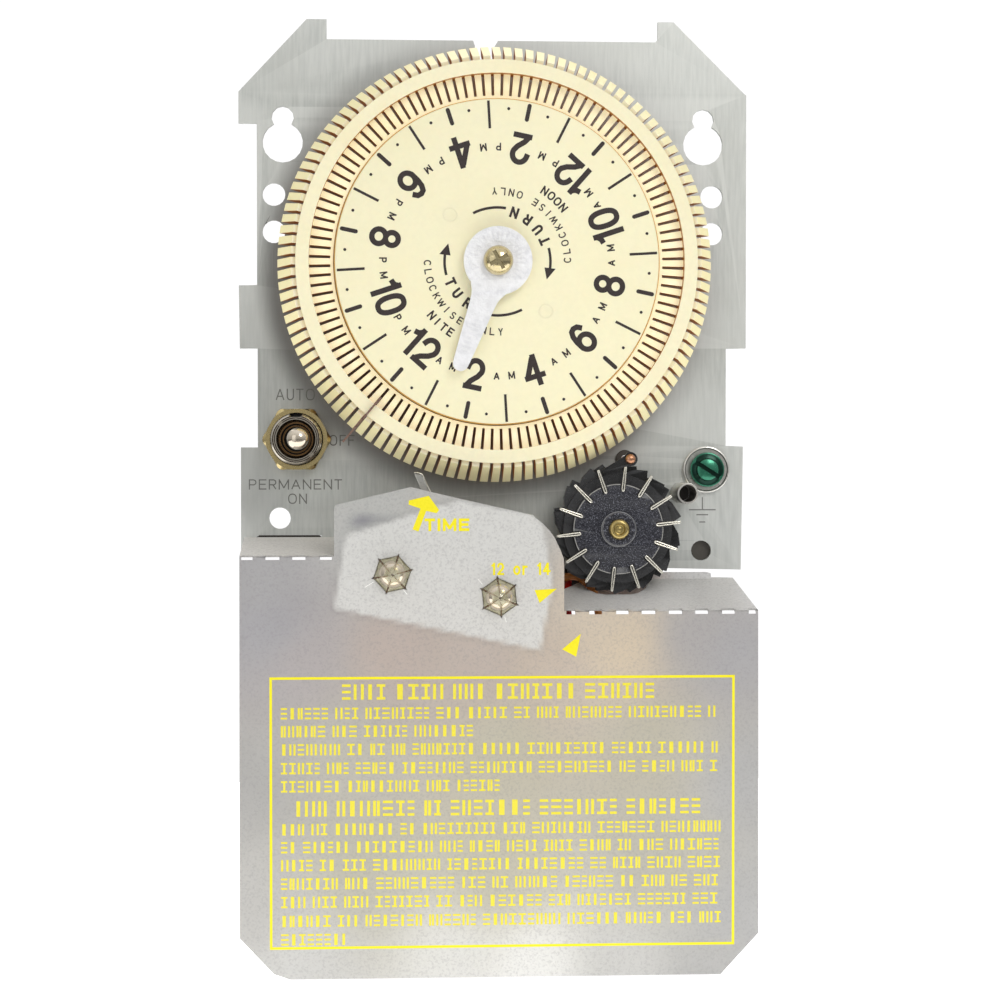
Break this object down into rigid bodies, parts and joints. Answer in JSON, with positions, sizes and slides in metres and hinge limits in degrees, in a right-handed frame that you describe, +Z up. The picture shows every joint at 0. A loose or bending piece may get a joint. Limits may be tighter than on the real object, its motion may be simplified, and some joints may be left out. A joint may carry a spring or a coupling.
{
  "type": "mechanical time switch",
  "caption": "Mechanical 24-hour time switch with a geared dial, skip-a-day wheel, manual toggle and a folded insulator sheet over the terminals, on a flat steel plate.",
  "frame": {"origin": "the middle of the bottom of the bounding box; the axis of the 24-hour dial stands 164.7 mm above it and the front face of the mounting plate is Y = 0", "axes": "+Z up the plate towards the hanging tabs, +X to the right seen from the front, +Y from the front face through the plate to the back"},
  "size_m": [0.1208, 0.0558, 0.2231],
  "materials": {
    "plate_steel": "galvanised, satin, with a stamped legend",
    "zinc": "bright zinc plate",
    "nickel": "polished nickel plate",
    "yellow_zinc": "yellow passivated zinc",
    "brass": "machined",
    "copper": "copper coloured wire and rivet",
    "cast_aluminium": "rough casting",
    "cream": "moulded, printed dial",
    "black": "moulded",
    "speckled": "speckled dark disc",
    "frosted": "frosted translucent film with yellow print",
    "fibre": "pale fibre sheet",
    "phenolic": "dark moulding",
    "green": "green dyed steel",
    "red_wire": "wire insulation",
    "orange_wire": "wire insulation",
    "motor_can": "drawn can",
    "coil_tape": "taped winding"
  },
  "bodies": {
    "frame": {"base_plate": "plate_steel", "insulator_sheet": "frosted", "switch_cover_plate": "fibre", "post_left": "nickel", "post_right": "nickel", "switch_base": "phenolic", "fixed_contact": "brass", "terminal_block": "phenolic", "terminal_screw_1": "brass", "terminal_screw_2": "brass", "terminal_screw_3": "brass", "terminal_screw_4": "brass", "terminal_screw_5": "brass", "toggle_body": "black", "toggle_bushing": "nickel", "toggle_lock_washer": "zinc", "toggle_nut": "yellow_zinc", "ground_washer": "zinc", "ground_screw": "green", "spacer_tube": "zinc", "dial_shaft": "zinc", "pointer": "cast_aluminium", "pointer_screw": "yellow_zinc", "motor_gearbox": "zinc", "motor_case": "motor_can", "motor_coil": "coil_tape", "motor_screw_left": "zinc", "motor_screw_right": "zinc", "wire_orange": "orange_wire", "wire_red": "red_wire", "lever_pivot": "zinc", "contact_pivot": "brass", "day_wheel_shaft": "brass", "detent_post": "copper", "detent_arm": "black"},
    "dial": {"dial_ring": "cream", "dial_face": "cream", "drive_gear": "brass", "trip_pin": "copper"},
    "pinion": {"motor_pinion": "brass"},
    "trip": {"trip_lever": "zinc"},
    "contact": {"moving_contact": "brass"},
    "toggle": {"toggle_lever": "nickel"},
    "day_wheel": {"star_wheel": "black", "day_disc": "speckled"},
    "pin_01": {"skip_pin_01": "zinc"},
    "pin_02": {"skip_pin_02": "zinc"},
    "pin_03": {"skip_pin_03": "zinc"},
    "pin_04": {"skip_pin_04": "zinc"},
    "pin_05": {"skip_pin_05": "zinc"},
    "pin_06": {"skip_pin_06": "zinc"},
    "pin_07": {"skip_pin_07": "zinc"},
    "pin_08": {"skip_pin_08": "zinc"},
    "pin_09": {"skip_pin_09": "zinc"},
    "pin_10": {"skip_pin_10": "zinc"},
    "pin_11": {"skip_pin_11": "zinc"},
    "pin_12": {"skip_pin_12": "zinc"},
    "pin_13": {"skip_pin_13": "zinc"},
    "pin_14": {"skip_pin_14": "zinc"}
  },
  "joints": [
    {"name": "dial_turn", "type": "hinge", "parent": "frame", "child": "dial", "pos_m": [0, 0, 0.1647], "axis": [0, 1, 0], "continuous": true},
    {"name": "pinion_spin", "type": "hinge", "parent": "frame", "child": "pinion", "pos_m": [0, 0, 0.1347], "axis": [0, 1, 0], "continuous": true},
    {"name": "day_wheel_turn", "type": "hinge", "parent": "frame", "child": "day_wheel", "pos_m": [0.0284, 0, 0.1027], "axis": [0, 1, 0], "continuous": true},
    {"name": "trip_lever_swing", "type": "hinge", "parent": "frame", "child": "trip", "pos_m": [-0.012, 0, 0.1027], "axis": [0, -1, 0], "range_deg": [0, 12]},
    {"name": "contact_swing", "type": "hinge", "parent": "frame", "child": "contact", "pos_m": [-0.009, 0, 0.0802], "axis": [0, -1, 0], "range_deg": [-3.6, 0]},
    {"name": "toggle_throw", "type": "hinge", "parent": "frame", "child": "toggle", "pos_m": [-0.0467, -0.003, 0.1237], "axis": [1, 0, 0], "range_deg": [-13, 13]},
    {"name": "skip_pin_01_slide", "type": "slide", "parent": "day_wheel", "child": "pin_01", "axis": [0.9936, 0, 0.1132], "range_m": [-0.002, 0]},
    {"name": "skip_pin_02_slide", "type": "slide", "parent": "day_wheel", "child": "pin_02", "axis": [0.8461, 0, 0.5331], "range_m": [-0.002, 0]},
    {"name": "skip_pin_03_slide", "type": "slide", "parent": "day_wheel", "child": "pin_03", "axis": [0.531, 0, 0.8474], "range_m": [-0.002, 0]},
    {"name": "skip_pin_04_slide", "type": "slide", "parent": "day_wheel", "child": "pin_04", "axis": [0.1107, 0, 0.9939], "range_m": [-0.002, 0]},
    {"name": "skip_pin_05_slide", "type": "slide", "parent": "day_wheel", "child": "pin_05", "axis": [-0.3315, 0, 0.9435], "range_m": [-0.002, 0]},
    {"name": "skip_pin_06_slide", "type": "slide", "parent": "day_wheel", "child": "pin_06", "axis": [-0.708, 0, 0.7062], "range_m": [-0.002, 0]},
    {"name": "skip_pin_07_slide", "type": "slide", "parent": "day_wheel", "child": "pin_07", "axis": [-0.9443, 0, 0.3291], "range_m": [-0.002, 0]},
    {"name": "skip_pin_08_slide", "type": "slide", "parent": "day_wheel", "child": "pin_08", "axis": [-0.9936, 0, -0.1132], "range_m": [-0.002, 0]},
    {"name": "skip_pin_09_slide", "type": "slide", "parent": "day_wheel", "child": "pin_09", "axis": [-0.8461, 0, -0.5331], "range_m": [-0.002, 0]},
    {"name": "skip_pin_10_slide", "type": "slide", "parent": "day_wheel", "child": "pin_10", "axis": [-0.531, 0, -0.8474], "range_m": [-0.002, 0]},
    {"name": "skip_pin_11_slide", "type": "slide", "parent": "day_wheel", "child": "pin_11", "axis": [-0.1107, 0, -0.9939], "range_m": [-0.002, 0]},
    {"name": "skip_pin_12_slide", "type": "slide", "parent": "day_wheel", "child": "pin_12", "axis": [0.3315, 0, -0.9435], "range_m": [-0.002, 0]},
    {"name": "skip_pin_13_slide", "type": "slide", "parent": "day_wheel", "child": "pin_13", "axis": [0.708, 0, -0.7062], "range_m": [-0.002, 0]},
    {"name": "skip_pin_14_slide", "type": "slide", "parent": "day_wheel", "child": "pin_14", "axis": [0.9443, 0, -0.3291], "range_m": [-0.002, 0]}
  ],
  "couplings": [
    {"joint": "pinion_spin", "follows": "dial_turn", "ratio": -4},
    {"joint": "day_wheel_turn", "follows": "dial_turn", "ratio": -0.071429},
    {"joint": "contact_swing", "follows": "trip_lever_swing", "ratio": -0.3}
  ]
}
